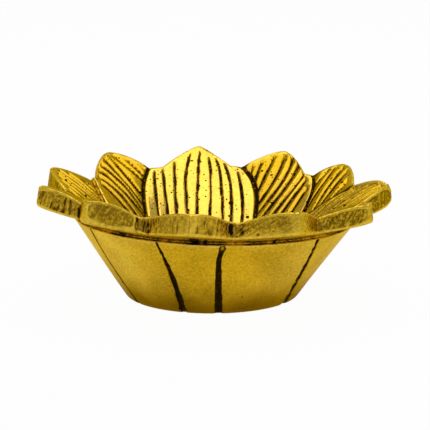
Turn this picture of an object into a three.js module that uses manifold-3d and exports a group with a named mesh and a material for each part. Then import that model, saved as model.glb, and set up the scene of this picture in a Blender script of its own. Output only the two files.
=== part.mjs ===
// Lotus diya: an oil lamp cast in one piece of brass. Eleven ribbed petals stand round a conical bowl.
// Millimetres, +Z up. The origin is the centre of the flat foot, and petal 0 stands at the back, near +Y.
import * as THREE from 'three';
import { mergeVertices } from 'three/addons/utils/BufferGeometryUtils.js';
import Module from 'manifold-3d';

const wasm = await Module();
wasm.setup();

// Petals: the outline seen from above
const petalCount = 11;
const tipRadius = 50;
const valleyRadius = 42.6;
// How far the rounding of each tip reaches, and where its flanks meet the flat bottoms of the notches
const tipRoundShares = [0.1, 0.13, 0.15, 0.17, 0.18, 0.18, 0.18, 0.17, 0.18, 0.18, 0.14];
const leftEndShares = [0.75, 1, 1, 0.93, 0.93, 0.93, 0.84, 0.84, 0.87, 0.82, 0.88];
const rightEndShares = [0.72, 0.77, 0.9, 0.86, 0.93, 0.84, 0.84, 0.84, 0.86, 0.91, 1];
const firstTipTurn = THREE.MathUtils.degToRad(98);
const tipTurnShares = [-0.077, 0.003, 0.172, 0.106, -0.039, 0.018, 0.047, -0.068, 0.073, 0.012, -0.039];
const tipReachShares = [1.049, 1.046, 1.004, 1.01, 1.012, 1.003, 1.004, 0.997, 1.027, 1.002, 1.031];
const tipLiftShares = [0.065, 0.06, 0.092, 0.016, -0.08, 0.06, -0.015, 0.097, -0.052, 0.027, 0.05];
const valleyTurnShares = [-0.09, -0.079, 0.083, 0.023, -0.012, -0.017, -0.047, -0.014, 0.053, 0.086, 0.1];

// Petals: the filed edge and the dish that their inner faces make
const tipHeight = 33.5;
const edgeHeight = 6.2;
const edgeFlare = 0.9; // how much further out the edge stands at its foot than at its top
const undersideRise = 2.3; // climb of the petals' underside from the notches to the tips
const dishCrown = 2.2; // rise of the inner faces above a straight line from the well to the tips

// Bowl: the cone, its foot and the undercut below the petals
const coneTopRadius = 40.1;
const coneFootRadius = 24.5;
const footFillet = 2.2;
const undercutDepth = 0.8;
const undercutHeight = 0.8;
const coveHeight = 1.5; // the short steep rise from the undercut to the petals' underside

// Well: the plain round hollow that holds the oil
const wellRimRadius = 24;
const wellRimHeight = 14.7;
const wellFloorRadius = 20;
const floorThickness = 6;
const wellRimFillet = 2.4;
const wellFloorFillet = 2;

// Ribs: round-bottomed grooves between them, which run down each petal in a loose fan
const ribPitch = 3.15;
const ribGrooveRadius = 0.62;
const ribGrooveSink = 0.12; // depth of a groove's centre line below the surface
const ribBorder = 1.3; // plain band along a petal's edge
const ribMargin = 0.5; // metal left between a rib's groove and a boundary
const ribShortest = 4; // a rib that a neighbour would leave shorter than this isn't cut
const ribCounts = [9, 10, 9, 9, 9, 9, 9, 9, 9, 9, 11];
const ribSwayShares = [0.05, -0.08, 0.03, 0.1, -0.06, 0.02, 0.08, -0.04, 0.06];
const ribTurnShares = [-0.18, 0.02, 0.56, -0.06, 0.1, -0.04, 0.06, -0.08, 0.05, -0.09, 0.09];
const ribFanShares = [0.05, 1, 0, 0, 0.3, 0.5, 0.1, 0.6, 0.4, 0, 1]; // 0 is parallel, 1 is radial
const ribCurlShares = [0.15, 0, 0, 0, 0.1, 0.1, 0.15, 0, 0.1, 0, 0.1]; // extra turn of the outermost ribs
const ribShiftShares = [0.52, -2.15, 0, 0.33, -0.16, 1.25, -0.08, -1.14, -0.9, 0.44, 2.6];
const ribPitchShares = [1, 1, 1, 1, 1, 0.97, 1.03, 0.97, 1, 1.1, 0.82];

// Petal boundaries: wider grooves. Each follows the side of the petal that lies on top, which swells
// beyond the notch and narrows again towards the well.
const boundaryRadius = 1;
const boundarySink = 0.1;
const boundarySwell = 3.4;
const boundarySwellShares = [1, 0.97, 0.26, 0.88, 0.82, 0.88, 0.94, 0.85, 0.82, 0.94, 0.76];
const liesOverNext = [true, true, false, true, false, false, true, true, true, false, false];
const swellSweep = 0.87 * Math.PI;
const swellSkew = 0.75; // less than 1 brings the widest place of a petal nearer to its notches

// Lines engraved down the cone, one below each notch, each with its own turn away from the notch
const lineTopRadius = 0.5;
const lineFootRadius = 1;
const lineWidthShares = [0.8, 0.6, 1, 0.7, 0.75, 1.15, 1, 0.68, 0.9, 0.7, 1];
const lineTopShares = [0.15, 0.01, 0.05, -0.04, 0.135, -0.158, 0.099, -0.003, 0.037, -0.086, -0.04];
const lineFootShares = [0.21, 0.05, 0.12, 0.03, 0.461, -0.097, 0.232, 0.027, -0.023, -0.176, 0.02];
const lineSwayShares = [0.03, -0.02, 0.04, -0.03, 0, -0.02, 0.03, -0.1, -0.03, 0.02, -0.04];

// Hand work: the bowl leans a little on its foot
const lean = THREE.MathUtils.degToRad(1.4);

// How finely the round forms are divided
const stepsPerPetal = 5;
const dishSteps = 4;
const filletSteps = 3;
const grooveSides = 6;
const ribSteps = 3;
const boundarySteps = 6;
const lineSteps = 4;
const searchSteps = 48;
const cutTolerance = 0.01; // a cut may move a surface by this much to leave out slivers
const weldDistance = 1e-4; // points nearer than this are one point
const overrun = 2; // cutters and rough stock run this far past what they cut

// Sizes that follow from the ones above
const pitchTurn = (2 * Math.PI) / petalCount;
const coveTopHeight = tipHeight - edgeHeight - undersideRise;
const coneTopHeight = coveTopHeight - coveHeight - undercutHeight;
const wallSlope = coneTopHeight / (coneTopRadius - coneFootRadius);
const roughRadius = tipRadius * Math.max(...tipReachShares) + overrun;

// Height of the petals' inner faces at a distance from the axis: a parabola that levels off at the tips
function dishHeight(radius) {
  const share = (radius - wellRimRadius) / (tipRadius - wellRimRadius);
  return THREE.MathUtils.lerp(wellRimHeight, tipHeight, share) + 4 * dishCrown * share * (1 - share);
}

// Direction of a petal's tip, and of the notch on its clockwise side
function tipTurn(petal) {
  return firstTipTurn + (tipTurnShares[petal] - petal) * pitchTurn;
}

function valleyTurn(petal) {
  const index = (petal + petalCount) % petalCount;
  const laps = (petal - index) / petalCount;
  return firstTipTurn + (valleyTurnShares[index] - index - 0.5) * pitchTurn - laps * 2 * Math.PI;
}

// Distance of a petal's edge from the axis: straight flanks, a rounded tip and a flat-bottomed notch
function edgeRadius(petal, turn) {
  const middle = tipTurn(petal);
  const side = turn > middle ? valleyTurn(petal - 1) : valleyTurn(petal);
  const flankEnd = turn > middle ? leftEndShares[petal] : rightEndShares[petal];
  const share = Math.min(1, Math.abs((turn - middle) / (side - middle)) / flankEnd);
  const round = tipRoundShares[petal];
  const drop = (Math.hypot(share, round) - round) / (Math.hypot(1, round) - round);
  return THREE.MathUtils.lerp(tipRadius * tipReachShares[petal], valleyRadius, drop);
}

function solidFrom(geometry) {
  const bare = geometry.clone();
  bare.deleteAttribute('normal');
  bare.deleteAttribute('uv');
  const merged = mergeVertices(bare, weldDistance);
  return new wasm.Manifold(new wasm.Mesh({
    numProp: 3,
    vertProperties: new Float32Array(merged.attributes.position.array),
    triVerts: new Uint32Array(merged.index.array),
    tolerance: cutTolerance,
  }));
}

function geometryFrom(solid) {
  const mesh = solid.getMesh();
  const geometry = new THREE.BufferGeometry();
  geometry.setAttribute('position', new THREE.BufferAttribute(new Float32Array(mesh.vertProperties), 3));
  geometry.setIndex(new THREE.BufferAttribute(new Uint32Array(mesh.triVerts), 1));
  return geometry;
}

// Points of an arc that rounds the corner between two straight runs of a section
function roundedCorner(before, corner, after, radius) {
  const towardsBefore = before.clone().sub(corner).normalize();
  const towardsAfter = after.clone().sub(corner).normalize();
  const halfAngle = Math.acos(THREE.MathUtils.clamp(towardsBefore.dot(towardsAfter), -1, 1)) / 2;
  const reach = radius / Math.tan(halfAngle);
  const start = corner.clone().addScaledVector(towardsBefore, reach);
  const end = corner.clone().addScaledVector(towardsAfter, reach);
  const centre = corner.clone().addScaledVector(
    towardsBefore.clone().add(towardsAfter).normalize(), radius / Math.sin(halfAngle));
  const points = [];
  for (let step = 0; step <= filletSteps; step += 1) {
    const chord = start.clone().lerp(end, step / filletSteps).sub(centre);
    points.push(chord.setLength(radius).add(centre));
  }
  return points;
}

// Half section of the bowl and of the rough crown that the petals are cut from
function bowlSection() {
  const axisFoot = new THREE.Vector2(0, 0);
  const footCorner = new THREE.Vector2(coneFootRadius, 0);
  const coneTop = new THREE.Vector2(coneTopRadius, coneTopHeight);
  const undercut = new THREE.Vector2(coneTopRadius - undercutDepth, coneTopHeight + undercutHeight);
  const cove = new THREE.Vector2(valleyRadius, coveTopHeight);
  const undersideSlope = undersideRise / (tipRadius + edgeFlare - valleyRadius);
  const lip = new THREE.Vector2(roughRadius, coveTopHeight + undersideSlope * (roughRadius - valleyRadius));
  const points = [axisFoot, ...roundedCorner(axisFoot, footCorner, coneTop, footFillet)];
  points.push(coneTop, undercut, cove, lip);
  const wellRim = new THREE.Vector2(wellRimRadius, dishHeight(wellRimRadius));
  const dish = [new THREE.Vector2(roughRadius, dishHeight(roughRadius))];
  for (let step = 0; step < dishSteps; step += 1) {
    const radius = THREE.MathUtils.lerp(tipRadius, wellRimRadius, step / dishSteps);
    dish.push(new THREE.Vector2(radius, dishHeight(radius)));
  }
  const floorCorner = new THREE.Vector2(wellFloorRadius, floorThickness);
  const axisFloor = new THREE.Vector2(0, floorThickness);
  points.push(...dish);
  points.push(...roundedCorner(dish[dish.length - 1], wellRim, floorCorner, wellRimFillet));
  points.push(...roundedCorner(wellRim, floorCorner, axisFloor, wellFloorFillet));
  points.push(axisFloor);
  return points;
}

// The bowl turned about its axis
function bowlBlank() {
  const geometry = new THREE.LatheGeometry(bowlSection(), petalCount * stepsPerPetal);
  return solidFrom(geometry.rotateX(Math.PI / 2));
}

// A tall prism with the petals' outline, whose sides lean out towards the foot as the filed edges do
function petalPrism() {
  const flankShares = [0, 0.13, 0.33, 0.66, 1]; // of the way from the tip to the flank's end
  const points = [];
  for (let petal = 0; petal < petalCount; petal += 1) {
    const middle = tipTurn(petal);
    const left = leftEndShares[petal] * (valleyTurn(petal - 1) - middle);
    const right = rightEndShares[petal] * (valleyTurn(petal) - middle);
    const turns = [
      ...flankShares.slice(1).reverse().map((share) => middle + share * left),
      ...flankShares.map((share) => middle + share * right),
    ];
    for (const turn of turns) {
      const radius = edgeRadius(petal, turn);
      points.push(new THREE.Vector2(radius * Math.cos(turn), radius * Math.sin(turn)));
    }
  }
  const top = tipHeight + tipRadius - valleyRadius;
  const geometry = new THREE.ExtrudeGeometry(new THREE.Shape(points.reverse()), {
    depth: top + overrun,
    bevelEnabled: false,
  });
  geometry.translate(0, 0, -overrun);
  const position = geometry.attributes.position;
  const draft = edgeFlare / edgeHeight;
  for (let index = 0; index < position.count; index += 1) {
    const scale = 1 + (draft * (tipHeight - position.getZ(index))) / tipRadius;
    position.setX(index, position.getX(index) * scale);
    position.setY(index, position.getY(index) * scale);
  }
  return solidFrom(geometry);
}

// A round cutter drawn along a path: a unit cylinder whose rings are carried to the path's points
function drawnCutter(path, radiusAt, steps) {
  const geometry = new THREE.CylinderGeometry(1, 1, 1, grooveSides, steps);
  const position = geometry.attributes.position;
  const up = new THREE.Vector3(0, 0, 1);
  for (let index = 0; index < position.count; index += 1) {
    const share = 0.5 - position.getY(index);
    const reach = 0.5 / steps;
    const ahead = path(Math.min(1, share + reach));
    const tangent = ahead.sub(path(Math.max(0, share - reach))).normalize();
    const side = up.clone().cross(tangent).normalize();
    const rise = tangent.clone().cross(side);
    const radius = radiusAt(share);
    const point = path(share);
    point.addScaledVector(side, position.getX(index) * radius);
    point.addScaledVector(rise, position.getZ(index) * radius);
    position.setXYZ(index, point.x, point.y, point.z);
  }
  return solidFrom(geometry);
}

// Direction of the side of whichever petal lies on top, at a distance from the axis
function upperSideTurn(petal, radius) {
  const index = (petal + petalCount) % petalCount;
  const laps = (petal - index) / petalCount;
  const upper = liesOverNext[index] ? index : (index + 1) % petalCount;
  const wrap = upper < index ? -2 * Math.PI : 0;
  const middle = tipTurn(upper) + wrap - laps * 2 * Math.PI;
  const notch = valleyTurn(petal) - middle;
  const share = THREE.MathUtils.clamp((valleyRadius - radius) / (valleyRadius - wellRimRadius), 0, 1);
  const swell = boundarySwell * boundarySwellShares[index] * Math.sin(swellSweep * share ** swellSkew);
  const reach = valleyRadius * Math.sin(Math.abs(notch)) + swell;
  return middle + Math.sign(notch) * Math.asin(reach / radius);
}

// Direction of the groove between two petals. Where both neighbours cover a petal, their sides meet
// over it and share one groove from there down.
function boundaryTurn(petal, radius) {
  const turn = upperSideTurn(petal, radius);
  const before = upperSideTurn(petal - 1, radius);
  const after = upperSideTurn(petal + 1, radius);
  if (before < turn) {
    return (before + turn) / 2;
  }
  return after > turn ? (turn + after) / 2 : turn;
}

function boundaryCutter(petal) {
  const path = (share) => {
    const radius = THREE.MathUtils.lerp(wellRimRadius, valleyRadius + overrun, share);
    const turn = boundaryTurn(petal, radius);
    return new THREE.Vector3(
      radius * Math.cos(turn), radius * Math.sin(turn), dishHeight(radius) - boundarySink);
  };
  return drawnCutter(path, () => boundaryRadius, boundarySteps);
}

// One rib groove: a straight line from inside the petal's edge to its boundary or the well. Its offset
// is measured from the petal's axis, level with the notches.
function ribCutter(petal, offset) {
  const middle = tipTurn(petal);
  const along = new THREE.Vector2(Math.cos(middle), Math.sin(middle));
  const across = new THREE.Vector2(-along.y, along.x);
  const side = offset / (valleyRadius * Math.sin(pitchTurn / 2));
  const skew = (ribTurnShares[petal] + ribCurlShares[petal] * side * side) * pitchTurn
    + ribFanShares[petal] * (offset / valleyRadius);
  const pointAt = (distance) => along.clone().multiplyScalar(distance)
    .addScaledVector(across, offset + (distance - valleyRadius) * Math.tan(skew));
  const isInside = (distance) => {
    const point = pointAt(distance);
    const radius = point.length();
    const turn = middle + Math.atan2(point.dot(across), distance);
    const keepOff = (boundaryRadius + ribMargin + ribGrooveRadius) / radius;
    return radius > wellRimRadius + ribGrooveRadius
      && radius < edgeRadius(petal, turn) - ribBorder
      && turn < boundaryTurn(petal - 1, radius) - keepOff
      && turn > boundaryTurn(petal, radius) + keepOff;
  };
  const search = (roughRadius - wellRimRadius / 2) / searchSteps;
  let far = roughRadius;
  while (far > 0 && !isInside(far)) {
    far -= search;
  }
  let near = far;
  while (isInside(near - search)) {
    near -= search;
  }
  if (far - near < ribShortest) {
    return null;
  }
  const path = (share) => {
    const point = pointAt(THREE.MathUtils.lerp(near, far, share));
    return new THREE.Vector3(point.x, point.y, dishHeight(point.length()) - ribGrooveSink);
  };
  return drawnCutter(path, () => ribGrooveRadius, ribSteps);
}

// One engraved line: it widens from the undercut to the foot and sways a little
function lineCutter(petal) {
  const path = (share) => {
    const height = THREE.MathUtils.lerp(-overrun, coneTopHeight + undercutHeight, share);
    const radius = coneFootRadius + height / wallSlope;
    const drift = THREE.MathUtils.lerp(lineFootShares[petal], lineTopShares[petal], share);
    const sway = lineSwayShares[petal] * Math.sin(Math.PI * share);
    const turn = valleyTurn(petal) + (drift + sway) * pitchTurn;
    return new THREE.Vector3(radius * Math.cos(turn), radius * Math.sin(turn), height);
  };
  const radiusAt = (share) => {
    const plain = THREE.MathUtils.lerp(lineFootRadius, lineTopRadius, share);
    return plain * lineWidthShares[petal];
  };
  return drawnCutter(path, radiusAt, lineSteps);
}

// Hand work gave each tip a height of its own. The inner face rises or sinks with it towards the tip,
// and the underside stays.
function liftTips(geometry) {
  const position = geometry.attributes.position;
  const undersideSlope = undersideRise / (tipRadius + edgeFlare - valleyRadius);
  for (let index = 0; index < position.count; index += 1) {
    const radius = Math.hypot(position.getX(index), position.getY(index));
    const turn = Math.atan2(position.getY(index), position.getX(index));
    const fromFirst = THREE.MathUtils.euclideanModulo(valleyTurn(-1) - turn, 2 * Math.PI);
    let petal = 0;
    while (petal < petalCount - 1 && valleyTurn(-1) - fromFirst < valleyTurn(petal)) {
      petal += 1;
    }
    const towardsTip = Math.max(0, (radius - valleyRadius) / (tipRadius - valleyRadius));
    const underside = coveTopHeight + undersideSlope * (radius - valleyRadius);
    const height = position.getZ(index);
    const upper = THREE.MathUtils.clamp((height - underside) / (dishHeight(radius) - underside), 0, 1);
    position.setZ(index, height + edgeHeight * tipLiftShares[petal] * towardsTip * upper);
  }
  return geometry;
}

// The lean grows from nothing at the well's floor to its full angle at the top of the cone
function leanOver(geometry) {
  const position = geometry.attributes.position;
  for (let index = 0; index < position.count; index += 1) {
    const height = position.getZ(index);
    const share = THREE.MathUtils.clamp((height - floorThickness) / (coneTopHeight - floorThickness), 0, 1);
    position.setZ(index, height - position.getX(index) * Math.tan(lean) * share);
    position.setX(index, position.getX(index) + height * Math.tan(lean));
  }
  return geometry;
}

function lotusBowl() {
  const cutters = [];
  for (let petal = 0; petal < petalCount; petal += 1) {
    cutters.push(boundaryCutter(petal), lineCutter(petal));
    for (let rib = 0; rib < ribCounts[petal]; rib += 1) {
      const sway = ribSwayShares[(rib + petal) % ribSwayShares.length];
      const place = rib - (ribCounts[petal] - 1) / 2 + ribShiftShares[petal] + sway;
      const cutter = ribCutter(petal, place * ribPitch * ribPitchShares[petal]);
      if (cutter) {
        cutters.push(cutter);
      }
    }
  }
  const cuts = wasm.Manifold.union(cutters);
  return leanOver(liftTips(geometryFrom(bowlBlank().intersect(petalPrism()).subtract(cuts))));
}

const brass = new THREE.MeshStandardMaterial({ color: 0xb88f2b, roughness: 0.34, metalness: 1 });

const group = new THREE.Group();
const bowl = new THREE.Mesh(lotusBowl(), brass);
bowl.name = 'lotus_bowl';
group.add(bowl);

export default group;
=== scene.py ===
# Lotus diya: a brass oil lamp in one casting, eleven carved petals round a conical bowl.
# The shape is worked out in millimetres on grids of rings and columns, and turned to metres at the end.
import math
import bpy
import numpy as np
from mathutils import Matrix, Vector


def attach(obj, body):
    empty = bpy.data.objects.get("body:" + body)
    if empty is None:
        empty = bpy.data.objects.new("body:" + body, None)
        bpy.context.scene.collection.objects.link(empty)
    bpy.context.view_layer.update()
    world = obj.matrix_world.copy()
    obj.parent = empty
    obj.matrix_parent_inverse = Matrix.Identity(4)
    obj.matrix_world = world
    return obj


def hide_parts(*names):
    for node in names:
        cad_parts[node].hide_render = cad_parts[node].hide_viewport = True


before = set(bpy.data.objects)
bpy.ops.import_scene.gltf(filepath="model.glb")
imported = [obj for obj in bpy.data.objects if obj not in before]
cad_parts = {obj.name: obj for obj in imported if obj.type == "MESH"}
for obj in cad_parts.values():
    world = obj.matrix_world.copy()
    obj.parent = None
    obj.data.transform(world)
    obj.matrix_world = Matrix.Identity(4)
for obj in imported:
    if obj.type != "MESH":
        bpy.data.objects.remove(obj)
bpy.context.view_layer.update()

metresPerMm = 0.001
fullTurn = 2 * math.pi

# The petals seen from above. Every list with eleven entries runs petal by petal, clockwise from the back
petals = {
    "count": 11,
    "tipRadius": 50.0,
    "valleyRadius": 42.6,
    "firstTipTurn": math.radians(98),
    "tipTurns": [-0.077, 0.003, 0.172, 0.106, -0.039, 0.018, 0.047, -0.068, 0.073, 0.012, -0.039],
    "tipReach": [1.049, 1.046, 1.004, 1.01, 1.012, 1.003, 1.004, 0.997, 1.027, 1.002, 1.031],
    "tipLift": [0.4, 0.37, 0.57, 0.1, -0.5, 0.37, -0.09, 0.6, -0.32, 0.17, 0.31],
    "tipRound": [0.08, 0.12, 0.15, 0.17, 0.18, 0.18, 0.18, 0.17, 0.18, 0.18, 0.13],
    "flankEndLeft": [0.745, 1.0, 1.0, 0.93, 0.93, 0.93, 0.84, 0.84, 0.87, 0.82, 0.88],
    "flankEndRight": [0.714, 0.767, 0.9, 0.86, 0.93, 0.833, 0.843, 0.84, 0.86, 0.91, 1.0],
    "flankArchLeft": [-0.5, 0, 0.25, 0.37, 0, -0.21, 0.2, 0.68, 0.53, 0.19, -0.2],
    "flankArchRight": [-0.45, -0.43, -0.15, 0.2, 0, 0.23, 0, -0.1, 0, 0.13, 0.25],
    "notchTurns": [-0.09, -0.079, 0.083, 0.023, -0.012, -0.017, -0.047, -0.014, 0.053, 0.086, 0.1],
    "notchRadii": [43.0, 42.95, 43.4, 42.65, 42.7, 42.7, 42.8, 42.5, 42.6, 41.9, 42.6],
    "notchLift": [0.11, -0.06, 0.24, -0.07, -0.03, 0.09, 0.1, 0.3, -0.31, -0.59, -0.09],
    "notchSoftness": 0.03,    # how gently a flank turns into the notch
    "handWobble": 0.1,        # how far the filed outline strays, mm
}

# Heights, the dish that the petals form, and their filed edge
crown = {
    "tipHeight": 33.5,
    "edgeHeight": 6.2,
    "edgeFlare": 0.9,
    "undersideRise": 2.3,
    "dishCrown": 2.2,
    "dishSink": 0.05,         # the dish lies this far inside the CAD's
    "dishWaves": ((0.05, 5, 7), (0.02, 1.7, 8)),   # beaten unevenness: height, length, seed
    "topBevel": 0.4,
    "topBevelReach": 1.15,    # how far in the bevel starts, in bevels
    "tipWear": [0.3, 0.3, 0.7, 1.9, 0.9, 0.9, 1.0, 1.0, 0.7, 0.5, 0.4],   # more bevel at the tips
    "tipWearReach": [3, 3, 3, 4, 3, 3, 1.5, 3, 3, 3, 3],
    "tipShineReach": 1.1,
    "flankPolish": {(5, "left"): 0.6, (7, "right"): 0.75},   # facets rubbed bright: (petal, side)
    "footBevel": [0.7, 0.7, 0.7, 0.7, 0.75, 0.8, 0.75, 1.05, 0.8, 0.7, 0.7],
    "footTipWear": [0.3, 0.3, 0.4, 1.3, 0.9, 0.4, 0.2, 0.6, 0.5, 0.3, 0.3],
    "fileDepth": 0.05,        # file strokes down the edge
    "cornerScore": 0.16,      # the file leaves a crease in both corners of a notch
    "chatter": [0.5, 0.5, 0.5, 0.6, 0.55, 0.5, 0.75, 0.12, 1.0, 0.6, 0.5],   # dark file marks
    "chatterSlant": [0, 0, 0, 0.3, 0.5, 1.1, 0.05, 0.3, 0.12, 0.1, 0],
    "pitting": [0.5, 0.5, 0.5, 0.85, 1.0, 0.5, 0.4, 0.25, 0.7, 0.5, 0.5],
    "faceTone": [0.05, 0.05, 0.05, 0.05, 0.05, 0.15, 0.3, 0.2, 0.2, 0.1, 0.05],   # rubbed all over
    "notchDirt": [0.8, 0.8, 0.8, 0.6, 0.15, 1, 1, 1, 0.6, 0.8, 0.8],
    "dullFacet": {"petal": 7, "middle": 0.52, "halfLength": 0.44, "polish": 0.1, "frame": 0.95},
    "pittedBand": {"petal": 5, "from": 0.66, "polish": 0.35},   # low on one flank, share of its height
}

bowl = {
    "wellRimRadius": 24.0,
    "wellRimHeight": 14.7,
    "wellRimRound": 1.3,
    "wellFloorRadius": 20.0,
    "wellFloorRound": 1.8,
    "floorThickness": 6.0,
    "coneTopRadius": 40.1,
    "coneFootRadius": 24.5,
    "undercutDepth": 0.8,
    "undercutHeight": 0.8,
    "coveHeight": 1.5,
    "footRound": 1.25,
    "lean": math.radians(1.4),
}

# How finely the surface is divided
mesh = {
    "columnsPerPetal": 96,
    "dishRows": 44,
    "faceRows": 11,
    "coneRows": 21,
    "columnCrowding": 0.3,    # columns stand closer beside a petal's sides
    "coneCrowding": 0.55,     # and beside the engraved lines
}

coveTop = crown["tipHeight"] - crown["edgeHeight"] - crown["undersideRise"]
coneTop = coveTop - bowl["coveHeight"] - bowl["undercutHeight"]
petalCount = petals["count"]
pitchTurn = fullTurn / petalCount
petalIndex = np.arange(petalCount)
tipTurns = petals["firstTipTurn"] + (np.array(petals["tipTurns"]) - petalIndex) * pitchTurn
valleyTurns = petals["firstTipTurn"] + (np.array(petals["notchTurns"]) - petalIndex - 0.5) * pitchTurn
valleyRadius = petals["valleyRadius"]
dishStart = bowl["wellRimRadius"] + bowl["wellRimRound"]


def smoothStep(low, high, value):
    # 0 below low, 1 above high, 3t² − 2t³ between
    share = np.clip((value - low) / (high - low), 0, 1)
    return share * share * (3 - 2 * share)


def smoothNoise(x, y, seed, period=64):
    # Random heights at whole numbers, joined by 3t² − 2t³; x repeats after period. From −1 to 1
    rowCount = 64
    table = np.random.default_rng(seed).uniform(-1, 1, (period, rowCount))
    cellX, cellY = np.floor(x).astype(int), np.floor(y).astype(int)
    shareX, shareY = smoothStep(0, 1, x - cellX), smoothStep(0, 1, y - cellY)

    def alongRow(row):
        row = row % rowCount
        return table[cellX % period, row] * (1 - shareX) + table[(cellX + 1) % period, row] * shareX

    return alongRow(cellY) * (1 - shareY) + alongRow(cellY + 1) * shareY


def noiseAround(turn, count, seed, height=0.0):
    # The same noise with count random heights round the bowl
    return smoothNoise(turn / fullTurn * count, height + 0 * turn, seed, count)


def asRows(values):
    # A list as one value per row
    return np.array(values, float)[:, None]


def dishHeight(radius):
    # Straight line from the well's rim to the tips plus the parabola 4·crown·s·(1 − s)
    share = (radius - bowl["wellRimRadius"]) / (petals["tipRadius"] - bowl["wellRimRadius"])
    rise = crown["tipHeight"] - bowl["wellRimHeight"]
    return bowl["wellRimHeight"] + rise * share + 4 * crown["dishCrown"] * share * (1 - share)


def undersideHeight(radius):
    # Level with the cove's top at the notches, then up in a straight line towards the tips
    slope = crown["undersideRise"] / (petals["tipRadius"] + crown["edgeFlare"] - valleyRadius)
    return coveTop + slope * (radius - valleyRadius)


# Where one petal lies over the next; entry k is the line between petals k and k + 1
overlaps = {
    "liesOverNext": [True, True, False, True, False, False, True, True, True, False, False],
    "swell": [3.4, 3.3, 0.9, 3.0, 2.8, 3.0, 3.2, 2.9, 2.8, 3.2, 2.6],
    "swellPower": [0.7, 0.7, 0.8, 0.8, 0.8, 0.8, 0.8, 0.8, 0.8, 1.2, 0.7],
    "swellSweep": 0.78 * math.pi,
    "swellReach": 16.1,       # how far in from the notches the sweep is complete
    "leastGap": 1.2,          # a covered petal still shows this much at the well
    "grooveDepth": 0.95,
    "upperWidth": 0.62,
    "lowerWidth": 0.85,
    "widthShares": [1.1, 0.95, 0.75, 0.7, 0.9, 1, 1, 0.9, 0.8, 0.35, 1],
    "inkShare": 0.72,
    "step": 0.5,              # how far the covered petal drops beside the groove
    "stepLength": 6.0,
    "rims": {9: (0.55, 1.25, 1.0), 1: (0.3, 0.85, 0.45)},   # sides that stand up, rubbed bright, partly a painted highlight: rise, place, width
}


def boundaryTables():
    # Turn of the line between petals k and k+1 at a run of radii: the upper petal's own side,
    # which stands off its axis by valleyRadius·sin(notch) + swell·sin(sweep·share^power)
    radii = np.linspace(dishStart - 1, valleyRadius, 80)
    share = (valleyRadius - radii) / overlaps["swellReach"]
    turns = np.zeros((petalCount, len(radii)))
    for k in range(petalCount):
        over = overlaps["liesOverNext"][k]
        after = (k + 1) % petalCount
        middle = tipTurns[k] if over else tipTurns[after] - (0 if after else fullTurn)
        notch = valleyTurns[k] - middle
        swell = overlaps["swell"][k] * np.sin(overlaps["swellSweep"] * share ** overlaps["swellPower"][k])
        reach = valleyRadius * math.sin(abs(notch)) + swell
        turns[k] = middle + np.sign(notch) * np.arcsin(reach / radii)
    for k in range(petalCount):  # a petal covered on both sides keeps a narrow strip down to the well
        before = (k - 1) % petalCount
        if overlaps["liesOverNext"][before] and not overlaps["liesOverNext"][k]:
            wrap = 0 if k else fullTurn
            gap = (turns[before] + wrap - turns[k]) * radii
            kept = 0.5 * (gap + np.sqrt(gap * gap + overlaps["leastGap"] ** 2))
            middle = (turns[before] + wrap + turns[k]) / 2
            turns[before] = middle + kept / radii / 2 - wrap
            turns[k] = middle - kept / radii / 2
    return radii, turns


boundaryRadii, boundaryTurns = boundaryTables()
boundarySlopes = np.gradient(boundaryTurns, boundaryRadii, axis=1) * boundaryRadii

# Columns run from each petal's left side to its right, so their turn falls all the way round
petalColumns = mesh["columnsPerPetal"]
columnPetal = np.repeat(petalIndex, petalColumns)
evenShare = np.tile(np.arange(petalColumns) / petalColumns, petalCount)
columnShare = evenShare - mesh["columnCrowding"] * np.sin(fullTurn * evenShare) / fullTurn


def eachColumn(values):
    # A list with one entry per petal, spread over the columns
    return np.array(values, float)[columnPetal]


def columnTurns(radius):
    # Turn of every column at one radius of the petals' sides, as rows by columns
    radius = np.atleast_1d(radius)
    sides = np.stack([np.interp(radius, boundaryRadii, row) for row in boundaryTurns])
    left = np.roll(sides, 1, axis=0)
    left[0] += fullTurn
    return (left[columnPetal] + (sides - left)[columnPetal] * columnShare[:, None]).T


def filedOutline(turn):
    # Straight flanks, a tip rounded by a hyperbola √(s² + round²), and a flat-bottomed notch.
    # The edge's rise above the dish runs from the tip's lift to the notch's, plus 4·arch·d·(1 − d)
    middle = tipTurns[columnPetal]
    isLeft = turn > middle

    def perSide(left, right):
        return np.where(isLeft, eachColumn(left), eachColumn(right))

    def perNotch(values):
        return perSide(np.roll(values, 1), values)

    leftNotch = np.roll(valleyTurns, 1) + np.where(petalIndex == 0, fullTurn, 0)
    side = perSide(leftNotch, valleyTurns)
    flankEnd = perSide(petals["flankEndLeft"], petals["flankEndRight"])
    arch = perSide(petals["flankArchLeft"], petals["flankArchRight"])
    notchRadius, notchLift = perNotch(petals["notchRadii"]), perNotch(petals["notchLift"])
    share = np.abs((turn - middle) / (side - middle)) / flankEnd
    flankShare = np.abs(turn - middle) / np.abs(side - middle) / flankEnd
    softness = petals["notchSoftness"]
    share = share - softness * np.logaddexp(0, (share - 1) / softness)
    rounding = eachColumn(petals["tipRound"])
    drop = (np.hypot(share, rounding) - rounding) / (np.hypot(1, rounding) - rounding)
    reach = petals["tipRadius"] * eachColumn(petals["tipReach"])
    lift = eachColumn(petals["tipLift"]) * (1 - drop) + notchLift * drop + 4 * arch * drop * (1 - drop)
    beyond = (np.abs(turn - middle) - np.abs(side - middle) * flankEnd) * valleyRadius
    dirt = perNotch(crown["notchDirt"])
    return reach + (notchRadius - reach) * drop, lift, beyond, isLeft, flankShare, dirt


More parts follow.
